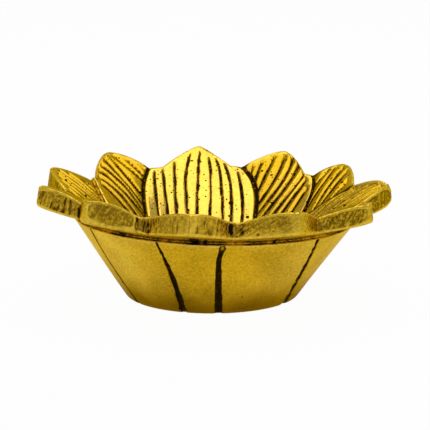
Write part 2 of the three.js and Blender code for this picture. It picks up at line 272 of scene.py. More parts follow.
# Rib lines: offset from the petal's axis level with the notches, slope, bow, and the plain metal
# left between the groove's end and the edge, mm
ribs = {
    "deepWidth": 0.36,        # the cut line itself
    "deepDepth": 0.4,
    "roundShare": 0.4,        # the hollow beside it, as a share of the ribs' pitch
    "roundDepth": [0.0, 0.55, 0.55, 0.6, 0.45, 0.4, 0.3, 0.4, 0.45, 0.6, 0.62],
    "inkWidth": [0.37, 0.34, 0.32, 0.29, 0.3, 0.3, 0.36, 0.3, 0.3, 0.27, 0.38],
    "leastPitch": 0.9,
    "widestPitch": 3.2,
    "fullPitch": 2.2,         # ribs closer than this are cut finer
    "tremor": 0.1,            # how far the carver's hand strays from a line
    "lines": {
        0: [(14.29, -0.115, -0.0064, 1.05), (12.04, -0.012, -0.003, 1.3), (8.31, -0.052, -0.0022, 1.3),
            (4.42, -0.2, -0.0096, 1.7), (0.83, -0.12, -0.0008, 2.4), (-2.63, -0.005, 0.0043, 3.7),
            (-5.2, 0.1, 0.006, 2.1), (-7.31, 0.203, 0.0101, 1.8), (-10.11, 0.247, 0.0115, 1.7)],
        1: [(9.63, 0.38, 0.006, 1.0), (6.76, 0.28, 0.004, 0.8), (4.47, 0.17, 0.003, 0.8),
            (1.5, 0.075, 0.0075, 0.8), (-2.13, 0.052, 0.0159, 1.5), (-5.12, 0.026, 0.0204, 1.3),
            (-7.7, -0.02, 0.0181, 1.2), (-10.98, -0.085, 0.0145, 1.2), (-12.91, -0.076, 0.0105, 1.4),
            (-15.99, -0.21, 0, 3.6)],
        2: [(8.9, 0.2, 0, 0.9), (6.63, 0.149, 0, 0.8), (4.46, 0.053, 0, 0.8), (1.96, 0.131, 0, 1.0),
            (-0.26, 0.316, 0.0003, 1.1), (-3.26, 0.33, 0, 1.5), (-5.73, 0.3, 0.006, 1.4),
            (-9.26, 0.161, 0, 1.3)],
        3: [(11.0, -0.1, -0.022, 1.4), (8.5, -0.06, -0.022, 1.3), (6.7, -0.06, -0.021, 1.6),
            (4.8, -0.06, -0.02, 1.4), (2.6, -0.04, -0.018, 1.5), (0.2, 0, -0.015, 1.5),
            (-2.2, 0.03, -0.011, 1.4), (-4.7, 0.03, -0.006, 1.3), (-7.4, 0, 0, 1.3),
            (-10.1, -0.03, 0.006, 1.3), (-12.6, -0.05, 0.012, 1.2)],
        9: [(-11.3, -0.049, 0, 1.4), (-8.02, -0.001, 0, 1.5), (-5.03, 0.027, 0, 2.3), (-2.83, -0.042, 0, 1.8),
            (-0.44, -0.05, -0.005, 1.6), (1.88, -0.07, -0.012, 1.8), (3.89, -0.12, -0.016, 1.4),
            (5.88, -0.17, -0.02, 1.2), (7.9, -0.22, -0.024, 1.2)],
        10: [(-9.22, 0.165, 0, 1.3), (-6.71, 0.196, 0, 0.8), (-4.19, 0.21, -0.006, 1.0),
             (-1.7, 0.31, -0.016, 1.3), (-0.24, 0.26, 0.008, 7.9), (1.55, 0.083, -0.008, 1.3),
             (3.81, 0.06, -0.0086, 1.6), (5.9, 0.3, 0.008, 1.8), (8.83, 0.4, 0.004, 1.2),
             (13.28, 0.874, 0.0284, 1.7), (14.64, 0.477, 0.0044, 3.0)],
    },
    "plainCount": 9,          # petals with no list of their own get this many, in a loose fan
    "plainPitch": 3.05,
    "plainFan": 0.35,
    "carving": [1, 0.95, 1, 1.1, 0.9, 0.95, 1, 0.95, 0.9, 1.1, 1],
    "blackening": [1, 1, 1, 0.85, 0.85, 0.95, 1, 0.9, 0.85, 0.8, 1],
    "polish": [0.9, 0.75, 0.85, 1, 0.5, 0.5, 0.6, 0.5, 0.5, 0.5, 0.35],   # how bright the crests are rubbed; the paler rubbed colour is partly a painted highlight, strongest on the back petal under the overhead light
}


def ribLines(k):
    # A petal's own list, or an even fan in which offset, slope, bow and plain stray by chance
    if k in ribs["lines"]:
        return ribs["lines"][k]
    place = np.arange(ribs["plainCount"]) - (ribs["plainCount"] - 1) / 2
    chance = np.random.default_rng(40 + k)
    offset = place * ribs["plainPitch"] + chance.uniform(-0.35, 0.35, len(place))
    slope = ribs["plainFan"] * offset / valleyRadius + chance.uniform(-0.05, 0.05, len(place))
    bow, plain = chance.uniform(-0.006, 0.006, len(place)), chance.uniform(1.0, 2.2, len(place))
    return np.stack([offset, slope, bow, plain], 1)


def carveRibs(k, radius, along, across, edgeGap):
    # A rib follows offset + slope·run + bow·run², and its groove is deep·e^−(x/w)² + round·e^−(x/W)²
    # across that line. Where grooves meet, the deeper one counts
    lines = ribLines(k)
    run = along - valleyRadius
    fromLine = np.zeros((len(lines), *radius.shape))
    for number, (offset, slope, bow, _) in enumerate(lines):
        line = offset + slope * run + bow * run * run
        line += ribs["tremor"] * smoothNoise(along / 4, np.full_like(radius, number), 60 + k)
        fromLine[number] = np.abs(across - line) / np.hypot(1, slope + 2 * bow * run)
    closest = np.partition(fromLine, 1, axis=0)
    pitch = np.clip(closest[0] + closest[1], ribs["leastPitch"], ribs["widestPitch"])
    squeeze = np.minimum(1, pitch / ribs["fullPitch"])
    fromWell = smoothStep(dishStart - 0.9, dishStart + 0.7, radius)
    grooves, stain = np.zeros((2, *radius.shape))
    for number, away in enumerate(fromLine):
        plain = lines[number][3]
        inside = smoothStep(plain - 0.35, plain + 0.35, edgeGap) * fromWell
        strength = (1 + 0.14 * smoothNoise(along / 3, np.full_like(radius, number + 20), 61 + k)) * inside
        narrow = np.exp(-(away / (ribs["deepWidth"] * squeeze)) ** 2)
        wide = np.exp(-(away / (ribs["roundShare"] * pitch)) ** 2)
        profile = ribs["deepDepth"] * narrow * squeeze + ribs["roundDepth"][k] * wide * squeeze
        grooves = np.maximum(grooves, strength * profile)
        patchy = smoothNoise(along / 2.6, np.full_like(radius, number * 3.1), 62 + k)
        taper = 0.4 + 0.6 * smoothStep(plain, plain + 3, edgeGap)
        halfWidth = ribs["inkWidth"][k] * squeeze * (1 + 0.35 * patchy) * taper
        stain = np.maximum(stain, inside * smoothStep(halfWidth + 0.24, halfWidth - 0.16, away))
    return grooves * ribs["carving"][k], stain * ribs["blackening"][k]


def carvePetal(k, radius, turn, edgeGap):
    # Ribs, then the groove along both sides of the petal: depth·e^−(x/width)², on the lower petal
    # with a step that dies away from it
    along, across = radius * np.cos(turn - tipTurns[k]), radius * np.sin(turn - tipTurns[k])
    carved, inked = carveRibs(k, radius, along, across, edgeGap)
    rubbed = np.zeros_like(radius)
    fade = smoothStep(dishStart - 1, dishStart + 2.5, radius) * (0.35 + 0.65 * smoothStep(0.3, 2.2, edgeGap))
    within = np.minimum(radius, valleyRadius)
    for valley, isRight in ((k, True), ((k - 1) % petalCount, False)):
        wrap = 0 if k or isRight else fullTurn
        sideTurn = np.interp(within, boundaryRadii, boundaryTurns[valley]) + wrap
        sideSlope = np.interp(within, boundaryRadii, boundarySlopes[valley])
        away = np.abs(radius * (turn - sideTurn)) / np.hypot(1, sideSlope)
        upper = overlaps["liesOverNext"][valley] == isRight
        share = overlaps["widthShares"][valley]
        width = share * (overlaps["upperWidth"] if upper else overlaps["lowerWidth"])
        groove = overlaps["grooveDepth"] * np.exp(-(away / width) ** 2)
        if not upper:
            groove = np.maximum(groove, overlaps["step"] * np.exp(-away / overlaps["stepLength"]))
        carved = np.maximum(carved, groove * fade)
        inkSpan = width
        if upper and valley in overlaps["rims"]:
            rise, place, inkSpan = overlaps["rims"][valley]  # soot fills the groove up to the rim
            bead = np.exp(-((away - place) / inkSpan) ** 2) * smoothStep(dishStart, dishStart + 3, radius)
            lumps = 1 + 0.4 * smoothNoise(along / 0.9, away / 0.9, 95)
            carved = carved * (1 - bead) - rise * bead * lumps
            inked, rubbed = inked * (1 - 0.9 * bead), np.maximum(rubbed, bead)
        patchy = 1 + 0.25 * smoothNoise(along / 2, across / 2, 90 + valley)
        inkEdge = overlaps["inkShare"] * inkSpan * patchy
        reach = smoothStep(dishStart - 1, dishStart + 1.5, radius) * min(1, share + 0.2)
        inked = np.maximum(inked, reach * smoothStep(inkEdge + 0.2, inkEdge - 0.2, away))
    return carved, inked, np.maximum(ribs["polish"][k] * (1 - smoothStep(0.04, 0.3, carved)), rubbed)


def carveDish(turn, radius, edgeGap):
    # Depth of the carving below the plain dish, with its blackening and polish from 0 to 1; the polish is
    # partly wear and partly a painted highlight
    carving = np.zeros((3, *radius.shape))
    for k in range(petalCount):
        own = slice(k * petalColumns, (k + 1) * petalColumns)
        carving[:, :, own] = carvePetal(k, radius[:, own], turn[:, own], edgeGap[:, own])
    return carving


def bend(start, corner, end, shares):
    # Quadratic curve (1−t)²·start + 2t(1−t)·corner + t²·end that rounds a corner
    shares = asRows(shares)
    return (1 - shares) ** 2 * start + 2 * shares * (1 - shares) * corner + shares ** 2 * end


# Each ring holds rows of: turn, radius, height, blackening, wear, chatter, pitting, and the grain's
# across, along and slant
rings, ringMaterials = [], []
petalMaterial, edgeMaterial, coneMaterial, wellMaterial = 0, 1, 2, 3


def addRings(material, turn, radius, height, black=0.0, wear=0.0, chatter=0.0, pitting=0.0,
             grain=None, slant=0.0):
    # Spreads every value over rows and columns; a plain grain runs by turn·radius and height
    across, along = grain if grain else (turn * radius, height)
    values = np.broadcast_arrays(turn, radius, height, black, wear, chatter, pitting, across, along, slant)
    rings.extend(np.stack(values, axis=1))
    ringMaterials.extend([material] * len(values[0]))


# The outline, seen from above, and how the columns reach it
outlineTurn = columnTurns(valleyRadius)[0]
outlineRadius, outlineLift, beyondCorner, isLeft, flankShare, notchDirt = filedOutline(outlineTurn)
outlineRadius = outlineRadius - petals["handWobble"] * (0.5 + 0.5 * noiseAround(outlineTurn, 60, 3))
distanceToCorner = np.abs(beyondCorner)
distanceToNotch = np.minimum(columnShare, 1 - columnShare) * pitchTurn * valleyRadius
distanceToTip = np.abs(outlineTurn - tipTurns[columnPetal]) * petals["tipRadius"]
nearTip = np.exp(-(distanceToTip / eachColumn(crown["tipWearReach"])) ** 2)

# Dish: rows from the well's rim to the edge
rowShare = np.linspace(0, 1, mesh["dishRows"])
dishTurn = columnTurns(dishStart + (valleyRadius - dishStart) * rowShare)
topBevel = crown["topBevel"] + eachColumn(crown["tipWear"]) * nearTip
topBevel = topBevel * (1 + 0.12 * noiseAround(outlineTurn, 60, 4))
dishEnd = outlineRadius - crown["topBevelReach"] * topBevel
dishRadius = dishStart + (dishEnd - dishStart) * rowShare[:, None]
edgeGap = (outlineRadius - dishRadius) * 0.82  # square to the flank rather than along the radius
dishDepth, dishBlack, dishPolishAndHighlight = carveDish(dishTurn, dishRadius, edgeGap)
planeX, planeY = dishRadius * np.cos(dishTurn) + 160, dishRadius * np.sin(dishTurn) + 160
unevenness = sum(height * smoothNoise(planeX / length, planeY / length, seed)
                 for height, length, seed in crown["dishWaves"])
dishTop = dishHeight(dishRadius) + outlineLift * rowShare[:, None] ** 2
dishTop = dishTop - dishDepth + unevenness - crown["dishSink"]
fromAxis = dishTurn - tipTurns[columnPetal]
dishGrain = dishRadius * np.sin(fromAxis) + 60 * columnPetal, dishRadius * np.cos(fromAxis)
print("petals carved")

# Well: floor, wall and rounded rim, on every second column
coarse = slice(0, None, 2)
relaxed = columnTurns(dishStart)[0][coarse]
evenTurn = relaxed[0] - np.arange(len(relaxed)) / len(relaxed) * fullTurn
rim = np.array([bowl["wellRimRadius"], bowl["wellRimHeight"]])
floorCorner = np.array([bowl["wellFloorRadius"], bowl["floorThickness"]])
wallDown = (floorCorner - rim) / np.linalg.norm(floorCorner - rim)
wallStart, wallEnd = rim + wallDown * bowl["wellRimRound"], floorCorner - wallDown * bowl["wellFloorRound"]
rimCurve = bend(np.array([dishStart, dishHeight(dishStart)]), rim, wallStart, [0.25, 0.5, 0.75, 1])
wall = wallStart + (wallEnd - wallStart) * np.linspace(0, 1, 8)[1:, None]
floorStart = floorCorner - np.array([bowl["wellFloorRound"], 0])
floorCurve = bend(wallEnd, floorCorner, floorStart, [0.33, 0.66, 1])
wellSection = np.vstack([rimCurve, wall, floorCurve])
wellFade = np.linspace(1, 0, len(rimCurve) + 2)[1:]
wellDepth = np.zeros((len(wellSection), len(relaxed)))
wellDepth[:len(wellFade)] = wellFade[:, None] * (dishDepth[0, coarse] + crown["dishSink"])
wellBlack = np.full(wellDepth.shape, 0.12)
wellBlack[:len(wellFade)] += wellFade[:, None] * dishBlack[0, coarse]
wellBlend = smoothStep(0, 8, np.arange(len(wellSection)))[:, None]
wellTurn = relaxed * (1 - wellBlend) + evenTurn * wellBlend
wallNoise = 0.06 * noiseAround(wellTurn, 48, 11, wellSection[:, 1:] / 4)
floorRadii = np.linspace(0, floorStart[0], 9)[1:-1, None]
addRings(wellMaterial, evenTurn[coarse], floorRadii, bowl["floorThickness"], 0.25)
addRings(wellMaterial, wellTurn[::-1], (wellSection[:, :1] + wallNoise)[::-1],
         (wellSection[:, 1:] - wellDepth)[::-1], wellBlack[::-1])
addRings(petalMaterial, dishTurn, dishRadius, dishTop, dishBlack, dishPolishAndHighlight, grain=dishGrain)
print("well and petals laid out")


def faceRadius(height):
    # The filed face flares outwards as it goes down
    draft = crown["edgeFlare"] / crown["edgeHeight"]
    return outlineRadius * (1 + draft * (crown["tipHeight"] + outlineLift - height) / petals["tipRadius"])


# Filed edge: rounded top corner, face and bottom bevel
bevelShares = [0.3, 0.65, 1]
edgeTop = dishHeight(outlineRadius) + outlineLift - dishDepth[-1] * 0.8 - 0.03
edgeFoot = undersideHeight(faceRadius(crown["tipHeight"] - crown["edgeHeight"]))
footBevel = eachColumn(crown["footBevel"]) * (1 + 0.2 * noiseAround(outlineTurn, 70, 14))
footBevel = footBevel + eachColumn(crown["footTipWear"]) * nearTip
crease = crown["cornerScore"] * np.exp(-(distanceToCorner / 0.5) ** 2)
faceTop, faceFoot = edgeTop - topBevel, edgeFoot + footBevel
underEdge = faceRadius(edgeFoot) - footBevel
topRadii = bend(dishEnd, faceRadius(edgeTop), faceRadius(faceTop), bevelShares)
topHeights = bend(dishTop[-1], edgeTop, faceTop, bevelShares)
footRadii = bend(faceRadius(faceFoot), faceRadius(edgeFoot), underEdge, bevelShares)
footHeights = bend(faceFoot, edgeFoot, undersideHeight(underEdge), bevelShares)
faceShares = np.linspace(0, 1, mesh["faceRows"] + 1)[1:, None]
faceHeights = topHeights[-1] + (faceFoot - topHeights[-1]) * faceShares

# File strokes lean by the petal's slant; the coarse ones are a quarter as many
slant = eachColumn(crown["chatterSlant"])
strokeCount = 640
slanted = outlineTurn / fullTurn * strokeCount + (faceHeights - 28) * slant
strokes = smoothNoise(slanted, faceHeights * 0.35, 15, strokeCount)
coarseStrokes = smoothNoise(slanted / 4, faceHeights * 0.25, 16, strokeCount // 4)
fileCut = crown["fileDepth"] * (0.7 * strokes + 0.6 * coarseStrokes - 1)

# Dirt stands in streaks just inside both corners of a notch, and thins out between them
broken = noiseAround(outlineTurn, 420, 17, faceHeights / 0.9)
streak = np.exp(-((beyondCorner - 0.45) / 0.5) ** 2) * (0.75 + 0.7 * broken)
residue = np.clip(notchDirt * (streak + 0.32 * np.exp(-(distanceToNotch / 1.5) ** 2)), 0, 1)

# Polish: bright tips, partly wear and partly a painted highlight; rubbed flanks; and one dull facet framed by
# its bevels
tipShine = np.exp(-(distanceToTip / crown["tipShineReach"]) ** 2)
faceWearAndShine = 0.9 * np.minimum(1, eachColumn(crown["tipWear"])) * tipShine
for (petal, side), amount in crown["flankPolish"].items():
    onFlank = (columnPetal == petal) & (isLeft == (side == "left")) & (distanceToCorner > 0.9)
    faceWearAndShine = np.where(onFlank, np.maximum(faceWearAndShine, amount), faceWearAndShine)
faceWearAndShine = np.maximum(faceWearAndShine, eachColumn(crown["faceTone"]))
faceWearAndShine = np.convolve(np.pad(faceWearAndShine, 3, mode="wrap"), np.full(7, 1 / 7), mode="valid")
faceWearAndShine = faceWearAndShine * (0.9 + 0.35 * coarseStrokes)
facet = crown["dullFacet"]
alongFacet = (flankShare - facet["middle"]) / facet["halfLength"]
fromMiddle = np.abs(alongFacet) ** 4 + np.abs(2 * faceShares - 1) ** 6
onFacet = (columnPetal == facet["petal"]) & isLeft & (beyondCorner < 0.2)
framed = facet["polish"] + (facet["frame"] - facet["polish"]) * smoothStep(0.95, 1.2, fromMiddle)
faceWearAndShine = np.where(onFacet, framed, faceWearAndShine)
band = crown["pittedBand"]
inBand = (columnPetal == band["petal"]) & ~isLeft & (faceShares > band["from"])
facePitting = np.where(inBand, 1, eachColumn(crown["pitting"]))
faceWearAndShine = np.where(inBand, np.maximum(faceWearAndShine, band["polish"]), faceWearAndShine)

edgeGrain = -outlineTurn * 46
# The top and foot bevels are made pale with wear near 0.9: rubbed arrises, partly a painted highlight along
# the edges
addRings(edgeMaterial, outlineTurn, topRadii - crease * asRows(bevelShares), topHeights,
         0.3 * residue[0], 0.85, 0, 0.1, (edgeGrain, topHeights), slant)
addRings(edgeMaterial, outlineTurn, faceRadius(faceHeights) + fileCut - crease, faceHeights,
         residue, faceWearAndShine, eachColumn(crown["chatter"]), facePitting, (edgeGrain, faceHeights), slant)
addRings(edgeMaterial, outlineTurn, footRadii - crease + fileCut[-1] * asRows([0.6, 0.3, 0]), footHeights,
         0.5 * residue[-1], asRows([0.85, 0.95, 0.35]), 0, 0.15, (edgeGrain, footHeights), slant)
print("edge filed")

# Lines engraved down the cone, one below each notch
engraving = {
    "topHalfWidth": 0.5,
    "footHalfWidth": 1.0,
    "widths": [0.8, 0.6, 1, 0.7, 1.1, 1.15, 1.05, 0.68, 0.9, 0.7, 1],
    "topShares": [1, 1, 1, 1, 0.9, 1, 0.6, 1, 1, 1, 1],
    "raggedness": [0.1, 0.1, 0.1, 0.1, 0.3, 0.06, 0.22, 0.15, 0.1, 0.1, 0.1],
    "topTurns": [0.15, 0.01, 0.05, -0.04, 0.135, -0.158, 0.099, -0.003, 0.037, -0.086, -0.04],
    "footTurns": [0.21, 0.05, 0.12, 0.03, 0.461, -0.097, 0.232, 0.027, -0.023, -0.176, 0.02],
    "sway": [0.03, -0.02, 0.04, -0.03, 0, -0.02, 0.03, -0.1, -0.03, 0.02, -0.04],
    "depth": 0.55,
    "hook": (5, 0.035),       # this line turns aside at its top: line, share of a petal
    "bead": {"line": 5, "height": 21.75, "halfLength": 0.75, "halfWidth": 0.55, "widens": 0.5, "left": 0.7},
}


def lineTurns(height):
    # Turn of the engraved line below each notch: foot to top in a straight run plus sway·sin(π·share)
    share = np.clip(np.atleast_1d(height) / (coneTop + bowl["undercutHeight"]), 0, 1)[:, None]
    lineFoot, lineHead = np.array(engraving["footTurns"]), np.array(engraving["topTurns"])
    drift = lineFoot + (lineHead - lineFoot) * share + np.array(engraving["sway"]) * np.sin(math.pi * share)
    line, aside = engraving["hook"]
    drift = drift + np.where(petalIndex == line, aside, 0) * smoothStep(0.76, 0.95, share)
    return valleyTurns + drift * pitchTurn


# Cone columns: every second one, crowded beside the engraved lines they follow
coarsePetal = columnPetal[coarse]
coarseEven = evenShare[coarse]
coneShare = coarseEven - mesh["coneCrowding"] * np.sin(fullTurn * coarseEven) / fullTurn
lineOf = np.where(coneShare > 0.5, coarsePetal, (coarsePetal - 1) % petalCount)


def coneTurns(height):
    # Every column runs at its share of the way between the engraved lines on its two sides
    right = lineTurns(height)
    left = np.roll(right, 1, axis=1)
    left[:, 0] += fullTurn
    return left[:, coarsePetal] + (right - left)[:, coarsePetal] * coneShare


def engrave(height, turn, radius):
    # Depth·e^−(x/w)⁴ across each line, with a width that grows towards the foot
    height = np.atleast_1d(height)[:, None]
    wrap = np.where((coarsePetal == 0) & (coneShare <= 0.5), fullTurn, 0)
    away = np.abs(turn - lineTurns(height[:, 0])[:, lineOf] - wrap) * radius
    top = engraving["topHalfWidth"] * np.array(engraving["topShares"])[lineOf]
    half = engraving["footHalfWidth"] + (top - engraving["footHalfWidth"]) * np.clip(height / coneTop, 0, 1)
    half = half * np.array(engraving["widths"])[lineOf]
    uneven = smoothNoise(height * 1.3 + 0 * away, lineOf + 0 * away, 31)
    uneven = uneven + 0.7 * smoothNoise(height * 3.1 + 0 * away, lineOf + 20 + (turn > 0), 32)
    bead = engraving["bead"]
    beside = np.where(lineOf == bead["line"], 1, 0)
    along = (height - bead["height"]) / bead["halfLength"]
    widening = bead["widens"] * half * beside * np.exp(-along ** 2 / 2)
    half = half * (1 + np.array(engraving["raggedness"])[lineOf] * uneven) + widening
    clear = 1 - bead["left"] * beside * np.exp(-along ** 4 - (away / bead["halfWidth"]) ** 4)
    cut = engraving["depth"] * np.minimum(1, half / 0.5) * np.exp(-(away / half) ** 4) * clear
    return cut, smoothStep(half * 1.12 + 0.06, half * 0.82, away) * clear


# Old oil in the corner under the petals
seam = {
    "strength": [0, 0, 0.15, 0, 0.65, 0.6, 0],      # row by row, from the underside down to the cone
    "blobs": [(math.radians(-97.6), 1.3, 1), (math.radians(-93.5), 0.4, 0.3), (math.radians(-66), 0.5, 0.4),
              (math.radians(-128), 0.7, 0.5)],      # turn, half length, how strong on the underside
    "blobStrength": [1, 1, 1, 1, 0.95, 0.8, 0.3],
    "blobUnderside": [0, 0, 0.7, 1],                # from the edge in
    "blobNarrowing": [3, 2.2, 1.4, 1],
    "lipShine": 0.55,                               # a painted highlight along the cone's top edge
}

# Underside and undercut
lineTop = coneTurns(coneTop)[0]
towardsLine = lineTop - outlineTurn[coarse]
undersideStart = (footRadii[-1] - crease)[coarse]
undersideEnd = np.minimum(valleyRadius - 0.6, undersideStart - 0.3)
undersideShares = asRows([0.25, 0.5, 0.75, 1])
undersideRadii = undersideStart + (undersideEnd - undersideStart) * undersideShares
undersideTurn = outlineTurn[coarse] + towardsLine * undersideShares * 0.5
lipRadius = bowl["coneTopRadius"]
undercutRadius = lipRadius - bowl["undercutDepth"]
undercut = np.array([
    [lipRadius + 1.1, coveTop - 0.55], [lipRadius + 0.1, coveTop - 1.0], [lipRadius - 0.5, coveTop - 1.3],
    [undercutRadius, coveTop - 1.6], [undercutRadius - 0.05, coveTop - 1.85],
    [undercutRadius + 0.3, coneTop + 0.28], [lipRadius - 0.1, coneTop + 0.05],
])
undercutTurn = outlineTurn[coarse] + towardsLine * np.linspace(0.6, 1, len(undercut))[:, None]
ragged = 0.6 * noiseAround(lineTop, 180, 21) + 0.4 * noiseAround(lineTop, 420, 22)
patches = noiseAround(lineTop, 44, 24)
streaks = noiseAround(lineTop, 70, 23, undersideRadii / 0.5)
undercutBlack = np.clip(asRows(seam["strength"]) * (1 + 0.5 * patches + 0.5 * ragged), 0, 1)
undersideBlack = 0.1 + 0.14 * streaks + 0.2 * residue[-1, coarse]
narrowing = asRows(seam["blobNarrowing"]) * (1 + 0.5 * streaks)
for blobTurn, reach, spread in seam["blobs"]:
    fromBlob = (lineTop - blobTurn) * lipRadius / reach
    undercutBlack = np.maximum(undercutBlack, asRows(seam["blobStrength"]) * np.exp(-fromBlob ** 4))
    blot = asRows(seam["blobUnderside"]) * np.exp(-(fromBlob * narrowing) ** 2)
    undersideBlack = undersideBlack + spread * blot
# Underside and undercut get wear of about a half: paler brass, partly rubbing and partly painted light in
# their shade
addRings(edgeMaterial, undersideTurn, undersideRadii, undersideHeight(undersideRadii) + 0.04 * streaks,
         np.clip(undersideBlack, 0, 1), 0.55, 0.5, 0.5, (undersideRadii, undersideTurn * 44))
addRings(edgeMaterial, undercutTurn, undercut[:, :1] + 0.12 * ragged, undercut[:, 1:],
         undercutBlack, 0.5, 0.3, 0.5, (undercut[:, 1:], undercutTurn * 42))

# Cone, with close rows below its top edge
wallSlope = coneTop / (bowl["coneTopRadius"] - bowl["coneFootRadius"])
coneHeights = np.concatenate([coneTop - np.array([0.25, 0.5, 0.8, 1.15, 1.6]),
                              np.linspace(coneTop - 2.4, bowl["footRound"] * 0.82, mesh["coneRows"])])
coneTurn = coneTurns(coneHeights)
coneRadii = bowl["coneFootRadius"] + coneHeights[:, None] / wallSlope
coneCut, coneBlack = engrave(coneHeights, coneTurn, coneRadii)
ripple = 0.05 * noiseAround(coneTurn, 22, 33, coneHeights[:, None] / 9)
belowTop = coneTop - coneHeights[:, None]
seamReach = 0.1 * patches + 0.25 * ragged
seamInk = 0.9 * smoothStep(seamReach + 0.12, seamReach - 0.12, belowTop)
# A painted highlight along the cone's lip, carried as wear
lipShine = seam["lipShine"] * smoothStep(1.1, 0.45, belowTop) * (0.7 + 0.4 * patches + 0.6 * ragged)
outwards, upwards = 0.82, 0.57  # parts of the wall's own square direction
addRings(coneMaterial, coneTurn, coneRadii - coneCut * outwards + ripple,
         coneHeights[:, None] + coneCut * upwards, np.maximum(coneBlack, seamInk), lipShine,
         grain=(-coneTurn * 32, coneHeights[:, None]))

# Rounded foot and flat base
coneDown = np.array([bowl["coneFootRadius"] - bowl["coneTopRadius"], -coneTop])
coneDown /= np.linalg.norm(coneDown)
foot = np.array([bowl["coneFootRadius"], 0.0])
footSection = bend(foot - coneDown * bowl["footRound"], foot, foot - np.array([bowl["footRound"], 0]),
                   [0.2, 0.4, 0.6, 0.8, 1])
footTurn = np.repeat(coneTurns(0), len(footSection), axis=0)
footCut, footBlack = engrave(np.zeros(len(footSection)), footTurn, footSection[:, :1])
footCut = footCut * np.linspace(1, 0.35, len(footSection))[:, None]
# The blackening rises as the foot turns under towards the base: partly grime, partly painted shade
addRings(coneMaterial, footTurn, footSection[:, :1] - outwards * footCut, footSection[:, 1:] + 0.4 * footCut,
         np.maximum(footBlack, asRows([0.05, 0.12, 0.25, 0.4, 0.5])),
         grain=(-footTurn * 32, footSection[:, 1:]))
baseRadii = np.linspace(footSection[-1, 0], 0, 9)[1:-1, None]
addRings(coneMaterial, footTurn[0][coarse], baseRadii, 0.0, 0.3)
print("cone engraved,", len(rings), "rings")


def stitch():
    # Joins each ring to the next; where one has twice the columns, each wide cell takes three triangles
    starts = np.cumsum([0] + [ring.shape[1] for ring in rings])
    quads, triangles, quadMaterials, triangleMaterials = [], [], [], []
    for number in range(len(rings) - 1):
        first, second = rings[number].shape[1], rings[number + 1].shape[1]
        material = ringMaterials[number + 1]
        a, b = starts[number], starts[number + 1]
        few = min(first, second)
        i = np.arange(few)
        j = (i + 1) % few
        if first == second:
            quads.append(np.stack([a + i, a + j, b + j, b + i], 1))
            quadMaterials.append(np.full(few, material))
            continue
        near, halfway, far = 2 * i, 2 * i + 1, 2 * j % (2 * few)
        if first < second:
            parts = [(b + halfway, b + near, a + i), (a + i, a + j, b + halfway),
                     (a + j, b + far, b + halfway)]
        else:
            parts = [(a + near, a + halfway, b + i), (b + j, b + i, a + halfway),
                     (a + halfway, a + far, b + j)]
        triangles.extend(np.stack(part, 1) for part in parts)
        triangleMaterials.extend([np.full(few, material)] * 3)
    return (starts, np.vstack(quads), np.concatenate(quadMaterials),
            np.vstack(triangles), np.concatenate(triangleMaterials))


def leanOver(points):
    # The bowl leans on its foot: height −x·tan(lean) above the well's floor, then x + height·tan(lean)
    x, y, z = points.T
    share = np.clip((z - bowl["floorThickness"]) / (coneTop - bowl["floorThickness"]), 0, 1)
    tilt = math.tan(bowl["lean"])
    return np.stack([x + z * tilt, y, z - x * tilt * share], 1)


def signedVolume(points, quads, triangles):
    # A sixth of the sum of a · (b × c) over the triangles; below 0 where they face inwards
    faces = np.vstack([quads[:, :3], quads[:, [0, 2, 3]], triangles])
    a, b, c = points[faces[:, 0]], points[faces[:, 1]], points[faces[:, 2]]
    return float((a * np.cross(b, c)).sum() / 6)


def makeLotusBowl():
    # Rings become points, closed by a fan round a pole in the floor and one in the base
    starts, quads, quadMaterials, triangles, triangleMaterials = stitch()
    floorPole = [0, 0, bowl["floorThickness"], 0.25, 0, 0, 0, 0, 0, 0]
    basePole = [0, 0, 0, 0.3, 0, 0, 0, 0, 0, 0]
    values = np.vstack([*(ring.T for ring in rings), floorPole, basePole])
    turn, radius, height = values[:, :3].T
    points = leanOver(np.stack([radius * np.cos(turn), radius * np.sin(turn), height], 1)) * metresPerMm
    i = np.arange(rings[0].shape[1])
    j = (i + 1) % len(i)
    last = starts[-2]
    floorFan = np.stack([np.full(len(i), len(points) - 2), j, i], 1)
    baseFan = np.stack([np.full(len(i), len(points) - 1), last + i, last + j], 1)
    triangles = np.vstack([triangles, floorFan, baseFan])
    triangleMaterials = np.concatenate([triangleMaterials, np.full(len(floorFan), wellMaterial),
                                        np.full(len(baseFan), coneMaterial)])
    if signedVolume(points, quads, triangles) < 0:
        quads, triangles = quads[:, ::-1], triangles[:, ::-1]
    data = bpy.data.meshes.new("lotusBowlFinish")
    data.vertices.add(len(points))
    data.vertices.foreach_set("co", points.ravel().astype(np.float32))
    corners = np.concatenate([quads.ravel(), triangles.ravel()]).astype(np.int32)
    data.loops.add(len(corners))
    data.loops.foreach_set("vertex_index", corners)
    counts = np.concatenate([np.full(len(quads), 4), np.full(len(triangles), 3)])
    data.polygons.add(len(counts))
    data.polygons.foreach_set("loop_start", np.concatenate([[0], np.cumsum(counts)[:-1]]).astype(np.int32))
    slots = np.concatenate([quadMaterials, triangleMaterials]).astype(np.int32)
    data.polygons.foreach_set("material_index", slots)
    data.update(calc_edges=True)
    data.validate()
    data.shade_smooth()
    for column, name in ((3, "blackening"), (4, "wear"), (5, "chatter"), (6, "pitting")):
        attribute = data.attributes.new(name, "FLOAT", "POINT")
        attribute.data.foreach_set("value", np.clip(values[:, column], 0, 1).astype(np.float32))
    grain = data.attributes.new("grain", "FLOAT_VECTOR", "POINT")
    grain.data.foreach_set("vector", values[:, 7:10].ravel().astype(np.float32))
    print("lotus bowl:", len(points), "points,", 2 * len(quads) + len(triangles), "triangles")
    return bpy.data.objects.new("lotus_bowl_finish", data)


lotusBowl = makeLotusBowl()
bpy.context.scene.collection.objects.link(lotusBowl)


